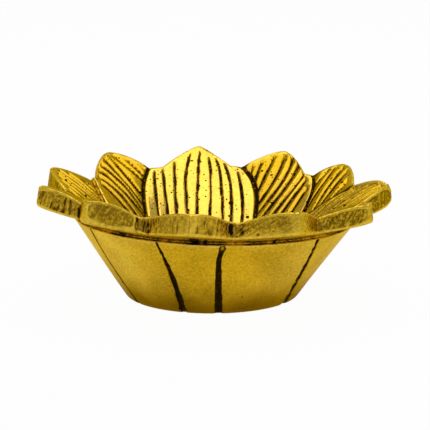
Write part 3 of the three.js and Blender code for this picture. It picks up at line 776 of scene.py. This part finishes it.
def node(tree, kind, inputs=None, **settings):
    # An input is a number, a colour, or the socket that feeds it
    made = tree.nodes.new(kind)
    for name, value in settings.items():
        setattr(made, name, value)
    for key, value in (inputs or {}).items():
        if isinstance(value, bpy.types.NodeSocket):
            tree.links.new(value, made.inputs[key])
        else:
            made.inputs[key].default_value = value
    return made


def calc(tree, operation, *values, clamp=False):
    inputs = dict(enumerate(values))
    return node(tree, "ShaderNodeMath", inputs, operation=operation, use_clamp=clamp).outputs[0]


def blend(tree, share, first, second):
    # first·(1 − share) + second·share
    return node(tree, "ShaderNodeMix", {0: share, 6: first, 7: second}, data_type="RGBA").outputs[2]


def ramp(tree, value, low, high, start=0.0, end=1.0):
    # From start to end along 3t² − 2t³ while the value goes from low to high
    inputs = {"Value": value, "From Min": low, "From Max": high, "To Min": start, "To Max": end}
    return node(tree, "ShaderNodeMapRange", inputs, interpolation_type="SMOOTHSTEP").outputs[0]


def noise(tree, vector, scale, detail):
    inputs = {"Vector": vector, "Scale": scale, "Detail": detail}
    return node(tree, "ShaderNodeTexNoise", inputs).outputs["Fac"]


def shaderGroup(name, inputs, outputs):
    # An empty node group with its sockets, named with their kinds
    group = bpy.data.node_groups.new(name, "ShaderNodeTree")
    for direction, sockets in (("INPUT", inputs), ("OUTPUT", outputs)):
        for label, kind in sockets.items():
            group.interface.new_socket(label, in_out=direction, socket_type="NodeSocket" + kind)
    return group, group.nodes.new("NodeGroupInput").outputs, group.nodes.new("NodeGroupOutput").inputs


def useGroup(tree, group, inputs):
    return node(tree, "ShaderNodeGroup", inputs, node_tree=group).outputs


def brassToneGroup():
    # Plain brass, paler where it is rubbed, with a slow drift in tone and a fine mottle
    tree, given, out = shaderGroup("brass tone", {
        "Position": "Vector", "Brass": "Color", "Rubbed": "Color", "Wear": "Float", "Drift": "Float",
        "Grain": "Float",
    }, {"Color": "Color", "Mottle": "Float"})
    broad, fine = noise(tree, given["Position"], 70, 3), noise(tree, given["Position"], given["Grain"], 4)
    rubbed = calc(tree, "MULTIPLY", given["Wear"], calc(tree, "MULTIPLY_ADD", fine, 0.7, 0.65), clamp=True)
    tone = blend(tree, rubbed, given["Brass"], given["Rubbed"])
    sway = calc(tree, "ADD", calc(tree, "SUBTRACT", broad, 0.5), calc(tree, "SUBTRACT", fine, 0.5))
    value = calc(tree, "MULTIPLY_ADD", sway, given["Drift"], 1.0)
    shaded = node(tree, "ShaderNodeHueSaturation", {"Color": tone, "Value": value})
    tree.links.new(shaded.outputs[0], out["Color"])
    tree.links.new(fine, out["Mottle"])
    return tree


def darkDepositGroup():
    # Soot and old oil: a brown rim, then black, with a ragged edge and flecks of brass showing through
    tree, given, out = shaderGroup("dark deposit", {
        "Position": "Vector", "Brass": "Color", "Cover": "Float", "Ragged": "Float", "Flecks": "Float",
    }, {"Color": "Color", "Cover": "Float"})
    edge = calc(tree, "SUBTRACT", noise(tree, given["Position"], 1300, 3), 0.5)
    cover = calc(tree, "MULTIPLY_ADD", edge, given["Ragged"], given["Cover"])
    brown = calc(tree, "MULTIPLY", ramp(tree, cover, 0.12, 0.5), 0.8)
    bare = ramp(tree, noise(tree, given["Position"], 950, 2), 0.56, 0.66)
    fleck = calc(tree, "MULTIPLY", bare, given["Flecks"])
    black = calc(tree, "MULTIPLY", ramp(tree, cover, 0.4, 0.85), calc(tree, "SUBTRACT", 1.0, fleck))
    stained = blend(tree, brown, given["Brass"], (0.17, 0.075, 0.004, 1))
    tree.links.new(blend(tree, black, stained, (0.014, 0.007, 0.001, 1)), out["Color"])
    tree.links.new(black, out["Cover"])
    return tree


def castPitsGroup():
    # Round pits: the inside of Voronoi cells, in a share of the cells
    tree, given, out = shaderGroup("cast pits", {
        "Position": "Vector", "Scale": "Float", "Share": "Float", "Size": "Float",
    }, {"Pits": "Float"})
    cells = node(tree, "ShaderNodeTexVoronoi", {"Vector": given["Position"], "Scale": given["Scale"]})
    chance = node(tree, "ShaderNodeSeparateColor", {0: cells.outputs["Color"]})
    chosen = calc(tree, "LESS_THAN", chance.outputs[0], given["Share"])
    size = calc(tree, "MULTIPLY", given["Size"], calc(tree, "ADD", chance.outputs[1], 0.4))
    inside = ramp(tree, calc(tree, "DIVIDE", cells.outputs["Distance"], size), 1.0, 0.55)
    tree.links.new(calc(tree, "MULTIPLY", inside, chosen), out["Pits"])
    return tree


def fileMarksGroup():
    # Strokes along the grain: noise drawn out along it, leaning by the slant that the grain carries
    tree, given, out = shaderGroup("file marks", {
        "Grain": "Vector", "Fineness": "Float", "Draw": "Float",
    }, {"Strokes": "Float", "Broad": "Float"})
    parts = node(tree, "ShaderNodeSeparateXYZ", {0: given["Grain"]}).outputs
    across = calc(tree, "MULTIPLY_ADD", parts[1], parts[2], parts[0])
    for label, share in (("Strokes", 1.0), ("Broad", 0.3)):
        fineness = calc(tree, "MULTIPLY", given["Fineness"], share)
        drawn = calc(tree, "MULTIPLY", fineness, given["Draw"])
        place = node(tree, "ShaderNodeCombineXYZ", {
            0: calc(tree, "MULTIPLY", across, fineness), 1: calc(tree, "MULTIPLY", parts[1], drawn)})
        tree.links.new(noise(tree, place.outputs[0], 1.0, 2), out[label])
    return tree


brassTone, darkDeposit = brassToneGroup(), darkDepositGroup()
castPits, fileMarks = castPitsGroup(), fileMarksGroup()


def startMaterial(name):
    # A material with the place on the object and the values that the surface carries
    material = bpy.data.materials.new(name)
    material.use_nodes = True
    tree = material.node_tree
    position = node(tree, "ShaderNodeTexCoord").outputs["Object"]
    read = {label: node(tree, "ShaderNodeAttribute", attribute_name=label).outputs["Fac"]
            for label in ("blackening", "wear", "chatter", "pitting")}
    read["grain"] = node(tree, "ShaderNodeAttribute", attribute_name="grain").outputs["Vector"]
    return material, tree, position, read


def toned(tree, position, finish, brass, rubbed, wear):
    # The brass tone group, with the finish's drift and grain
    return useGroup(tree, brassTone, {"Position": position, "Brass": brass, "Rubbed": rubbed, "Wear": wear,
                                      "Drift": finish["drift"], "Grain": finish["grain"]})


def pitted(tree, position, finish):
    # Large pits and small specks together
    pits, specks = (useGroup(tree, castPits, {
        "Position": position, "Scale": scale, "Share": share, "Size": size,
    })["Pits"] for scale, share, size in (finish["pits"], finish["specks"]))
    return calc(tree, "MAXIMUM", pits, specks)


def stroked(tree, read, finish):
    # The file marks group, along the surface's grain
    fineness, draw = finish["strokes"]
    return useGroup(tree, fileMarks, {"Grain": read["grain"], "Fineness": fineness, "Draw": draw})


def soiled(tree, position, finish, tone, cover):
    # The dark deposit group over the tone
    edge, flecks = finish["soot"]
    return useGroup(tree, darkDeposit, {"Position": position, "Brass": tone["Color"], "Cover": cover,
                                        "Ragged": edge, "Flecks": flecks})


def mottled(tree, tone, finish):
    # Roughness swings by the mottle round its middle value
    low = finish["roughness"] - finish["mottle"] / 2
    return calc(tree, "MULTIPLY_ADD", tone["Mottle"], finish["mottle"], low)


def finishShader(tree, colour, roughness, height, depth):
    # Metal with the given colour and roughness, and a bump of depth metres times the height
    shader = tree.nodes["Principled BSDF"]
    bump = node(tree, "ShaderNodeBump", {"Height": height, "Distance": depth, "Strength": 1.0})
    shader.inputs["Metallic"].default_value = 1.0
    shader.inputs["Specular Tint"].default_value = (1, 0.8, 0.3, 1)  # brass stays yellow at a glance
    for key, value in {"Base Color": colour, "Roughness": roughness, "Normal": bump.outputs[0]}.items():
        tree.links.new(value, shader.inputs[key])


# In each finish, pits and specks give how many a metre, their share and their size; strokes give
# fineness and draw; soot gives how ragged its edge is and how many flecks of brass show through
petalFinish = {
    "brass": (0.6, 0.36, 0.016, 1),
    # paler rubbed brass, on the crests partly a painted highlight
    "rubbed": (0.88, 0.58, 0.085, 1),
    "drift": 0.35,
    "grain": 650,
    "pits": (400, 0.5, 0.2),
    "specks": (1000, 0.5, 0.25),
    "strokes": (4.0, 0.12),
    "soot": (0.55, 0.5),
    "roughness": 0.19,
    "mottle": 0.16,
    "bumpDepth": 0.00006,
}


def petalBrass():
    # Blackening plus 0.9 of the pits is the soot; it adds 0.3 to the roughness
    material, tree, position, read = startMaterial("carved petal brass")
    finish = petalFinish
    tone = toned(tree, position, finish, finish["brass"], finish["rubbed"], read["wear"])
    hollows = pitted(tree, position, finish)
    marks = stroked(tree, read, finish)
    cover = calc(tree, "MULTIPLY_ADD", hollows, 0.9, read["blackening"])
    deposit = soiled(tree, position, finish, tone, cover)
    rough = calc(tree, "MULTIPLY_ADD", deposit["Cover"], 0.3, mottled(tree, tone, finish))
    height = calc(tree, "MULTIPLY_ADD", hollows, -1.0, tone["Mottle"])
    height = calc(tree, "MULTIPLY_ADD", marks["Strokes"], 0.5, height)
    finishShader(tree, deposit["Color"], rough, height, finish["bumpDepth"])
    return material


edgeFinish = {
    "brass": (0.58, 0.345, 0.009, 1),
    "dull": (0.19, 0.105, 0.003, 1),
    "rubbed": (0.9, 0.61, 0.06, 1),
    "drift": 0.75,
    "grain": 900,
    "blotches": (1150, 0.42, 0.6),    # how many a metre, where they begin and end
    "pits": (520, 0.5, 0.26),
    "specks": (1400, 0.5, 0.34),
    "strokes": (1.6, 0.17),
    "soot": (0.5, 0.4),
    "roughness": 0.28,
    "mottle": 0.2,
    "bumpDepth": 0.0002,
}


def edgeBrass():
    # Dull ground, brass where blotches and strokes meet or where it is worn; dark strokes and pits
    # count as soot, less where the metal is worn
    material, tree, position, read = startMaterial("filed edge brass")
    finish = edgeFinish
    marks = stroked(tree, read, finish)
    many, begin, end = finish["blotches"]
    blotch = ramp(tree, noise(tree, position, many, 3), begin, end)
    streaked = calc(tree, "MULTIPLY", blotch, ramp(tree, marks["Strokes"], 0.38, 0.52))
    worn = calc(tree, "ADD", streaked, read["wear"], clamp=True)
    ground = blend(tree, worn, finish["dull"], finish["brass"])
    scuffed = calc(tree, "MULTIPLY_ADD", ramp(tree, marks["Strokes"], 0.56, 0.74), 0.45, read["wear"])
    tone = toned(tree, position, finish, ground, finish["rubbed"], scuffed)
    hollows = calc(tree, "MULTIPLY", pitted(tree, position, finish), read["pitting"])
    dark = calc(tree, "ADD", marks["Strokes"], calc(tree, "MULTIPLY", marks["Broad"], 0.6))
    dark = calc(tree, "MULTIPLY", ramp(tree, dark, 0.82, 0.6), read["chatter"])
    grime = calc(tree, "MAXIMUM", calc(tree, "MULTIPLY", dark, 0.75), calc(tree, "MULTIPLY", hollows, 0.62))
    kept = calc(tree, "MULTIPLY_ADD", read["wear"], -0.6, 1.0)
    cover = calc(tree, "MULTIPLY_ADD", grime, kept, read["blackening"])
    deposit = soiled(tree, position, finish, tone, cover)
    rough = calc(tree, "MULTIPLY_ADD", deposit["Cover"], 0.25, mottled(tree, tone, finish))
    height = calc(tree, "MULTIPLY_ADD", hollows, -0.8, calc(tree, "MULTIPLY", marks["Strokes"], kept))
    height = calc(tree, "MULTIPLY_ADD", blotch, 0.35, height)
    finishShader(tree, deposit["Color"], rough, height, finish["bumpDepth"])
    return material


coneFinish = {
    "brass": (0.8, 0.5, 0.016, 1),
    "sheenColour": (0.86, 0.62, 0.11, 1),     # painted sheen towards the sides, where the satin would catch the light
    # darker brass towards the foot: partly grime, partly painted shade of the floor under the bowl
    "grimeAndShade": (0.3, 0.15, 0.003, 1),
    "grimeAndShadeTop": 0.014,                # height where the foot's darkening, grime and painted shade, has gone, m
    "drift": 1.15,
    "grain": 1500,
    "pits": (600, 0.14, 0.17),
    "specks": (1500, 0.4, 0.3),
    "strokes": (3.5, 0.08),
    "soot": (0.3, 0.15),
    "roughness": 0.34,
    "mottle": 0.12,
    "bumpDepth": 0.00004,
}


def coneBrass():
    # Satin brass, with a painted sheen towards the sides and a painted highlight on the lip; darker in the
    # lowest millimetres, partly grime and partly painted shade
    material, tree, position, read = startMaterial("satin cone brass")
    finish = coneFinish
    heightAbove = node(tree, "ShaderNodeSeparateXYZ", {0: position}).outputs["Z"]
    # Darker towards the foot, partly grime and partly painted shade
    patch = calc(tree, "MULTIPLY_ADD", noise(tree, position, 180, 3), 0.004, -0.002)
    low = ramp(tree, calc(tree, "ADD", heightAbove, patch), finish["grimeAndShadeTop"], 0.0005)
    low = calc(tree, "POWER", low, 1.6)
    # Painted sheen: paler where the surface turns from the view, and on the lip's painted highlight
    facing = node(tree, "ShaderNodeLayerWeight", {"Blend": 0.5}).outputs["Facing"]
    paintedSheen = calc(tree, "MAXIMUM", ramp(tree, facing, 0.3, 0.75), read["wear"])
    satin = blend(tree, paintedSheen, finish["brass"], finish["sheenColour"])
    tone = toned(tree, position, finish, satin, finish["grimeAndShade"], low)
    hollows = pitted(tree, position, finish)
    marks = stroked(tree, read, finish)
    dirt = calc(tree, "MULTIPLY", hollows, calc(tree, "MULTIPLY_ADD", low, 0.3, 0.3))
    deposit = soiled(tree, position, finish, tone, calc(tree, "ADD", dirt, read["blackening"]))
    height = calc(tree, "MULTIPLY_ADD", hollows, -1.0, marks["Strokes"])
    finishShader(tree, deposit["Color"], mottled(tree, tone, finish), height, finish["bumpDepth"])
    return material


wellFinish = {
    "brass": (0.56, 0.36, 0.03, 1),
    "rubbed": (0.7, 0.5, 0.07, 1),
    "drift": 0.5,
    "grain": 650,
    "pits": (360, 0.2, 0.14),
    "specks": (1000, 0.2, 0.2),
    "soot": (0.6, 0.5),
    "roughness": 0.4,
    "mottle": 0.16,
    "bumpDepth": 0.00008,
}


def wellBrass():
    # Unpolished brass, rubbed in patches; pits darken it by half
    material, tree, position, read = startMaterial("well brass")
    finish = wellFinish
    wear = noise(tree, position, 220, 2)
    tone = toned(tree, position, finish, finish["brass"], finish["rubbed"], wear)
    hollows = pitted(tree, position, finish)
    cover = calc(tree, "MULTIPLY_ADD", hollows, 0.45, read["blackening"])
    deposit = soiled(tree, position, finish, tone, cover)
    height = calc(tree, "MULTIPLY_ADD", hollows, -1.0, tone["Mottle"])
    finishShader(tree, deposit["Color"], mottled(tree, tone, finish), height, finish["bumpDepth"])
    return material


for made in (petalBrass(), edgeBrass(), coneBrass(), wellBrass()):  # in the order of the rings' materials
    lotusBowl.data.materials.append(made)
print("finishes made")

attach(lotusBowl, "root")
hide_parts("lotus_bowl")

# Camera: the photograph's own view
camera = bpy.data.objects.new("camera", bpy.data.cameras.new("camera"))
bpy.context.scene.collection.objects.link(camera)
camera.location = (0.00085, -0.5091, 0.1258)
camera.rotation_euler = (math.radians(78.59), 0, 0)
camera.data.lens = 151.6
camera.data.sensor_width = 36
camera.data.sensor_fit = "HORIZONTAL"
camera.data.clip_start = 0.01
camera.data.clip_end = 20
bpy.context.scene.camera = camera

studio = {
    "floorSize": 8.0,
    "floorColour": (0.86, 0.86, 0.86, 1),
    "floorDrop": 0.00002,     # keeps the floor clear of the base
    "floorWhite": 0.97,       # share of the floor that is plain white to the camera
    "floorWhiteInMetal": 0.42,
    "worldTop": 0.5,
    "worldHorizon": 0.9,
    "overheadWatts": 2.7,
    "overheadSize": (0.76, 0.9),
    "overheadPlace": (0.03, 0.25, 0.75),
}

floorMesh = bpy.data.meshes.new("studioFloor")
half = studio["floorSize"] / 2
floorCorners = [(-half, -half, 0), (half, -half, 0), (half, half, 0), (-half, half, 0)]
floorMesh.from_pydata(floorCorners, [], [(0, 1, 2, 3)])
floor = bpy.data.objects.new("studio_floor", floorMesh)
bpy.context.scene.collection.objects.link(floor)
floor.location = (0, 0, -studio["floorDrop"])
paper = bpy.data.materials.new("studio paper")
paper.use_nodes = True
tree = paper.node_tree
tree.nodes.clear()
path = node(tree, "ShaderNodeLightPath").outputs
seen = calc(tree, "MULTIPLY", path["Is Camera Ray"], studio["floorWhite"])
seen = calc(tree, "MULTIPLY_ADD", path["Is Glossy Ray"], studio["floorWhiteInMetal"], seen)
diffuse = node(tree, "ShaderNodeBsdfDiffuse", {"Color": studio["floorColour"]})
white = node(tree, "ShaderNodeEmission", {"Strength": 1.0})
mixed = node(tree, "ShaderNodeMixShader", {0: seen, 1: diffuse.outputs[0], 2: white.outputs[0]})
node(tree, "ShaderNodeOutputMaterial", {0: mixed.outputs[0]})
floorMesh.materials.append(paper)

# The world is plain white to the camera, and dimmer overhead than at the horizon to the metal
world = bpy.data.worlds.new("studio")
bpy.context.scene.world = world
world.use_nodes = True
tree = world.node_tree
tree.nodes.clear()
direction = node(tree, "ShaderNodeTexCoord").outputs["Generated"]
rise = node(tree, "ShaderNodeSeparateXYZ", {0: direction}).outputs["Z"]
glow = ramp(tree, rise, 0.1, 0.65, studio["worldHorizon"], studio["worldTop"])
seen = calc(tree, "MAXIMUM", glow, node(tree, "ShaderNodeLightPath").outputs["Is Camera Ray"])
background = node(tree, "ShaderNodeBackground", {"Strength": seen})
node(tree, "ShaderNodeOutputWorld", {0: background.outputs[0]})

lamp = bpy.data.objects.new("overhead softbox", bpy.data.lights.new("overhead softbox", "AREA"))
lamp.data.shape = "RECTANGLE"
lamp.data.size, lamp.data.size_y = studio["overheadSize"]
lamp.data.energy = studio["overheadWatts"]
lamp.location = studio["overheadPlace"]
lamp.rotation_euler = Vector((0, 0, -1)).to_track_quat("-Z", "Y").to_euler()  # straight down
bpy.context.scene.collection.objects.link(lamp)

bpy.context.scene.view_settings.view_transform = "Standard"
print("studio ready")
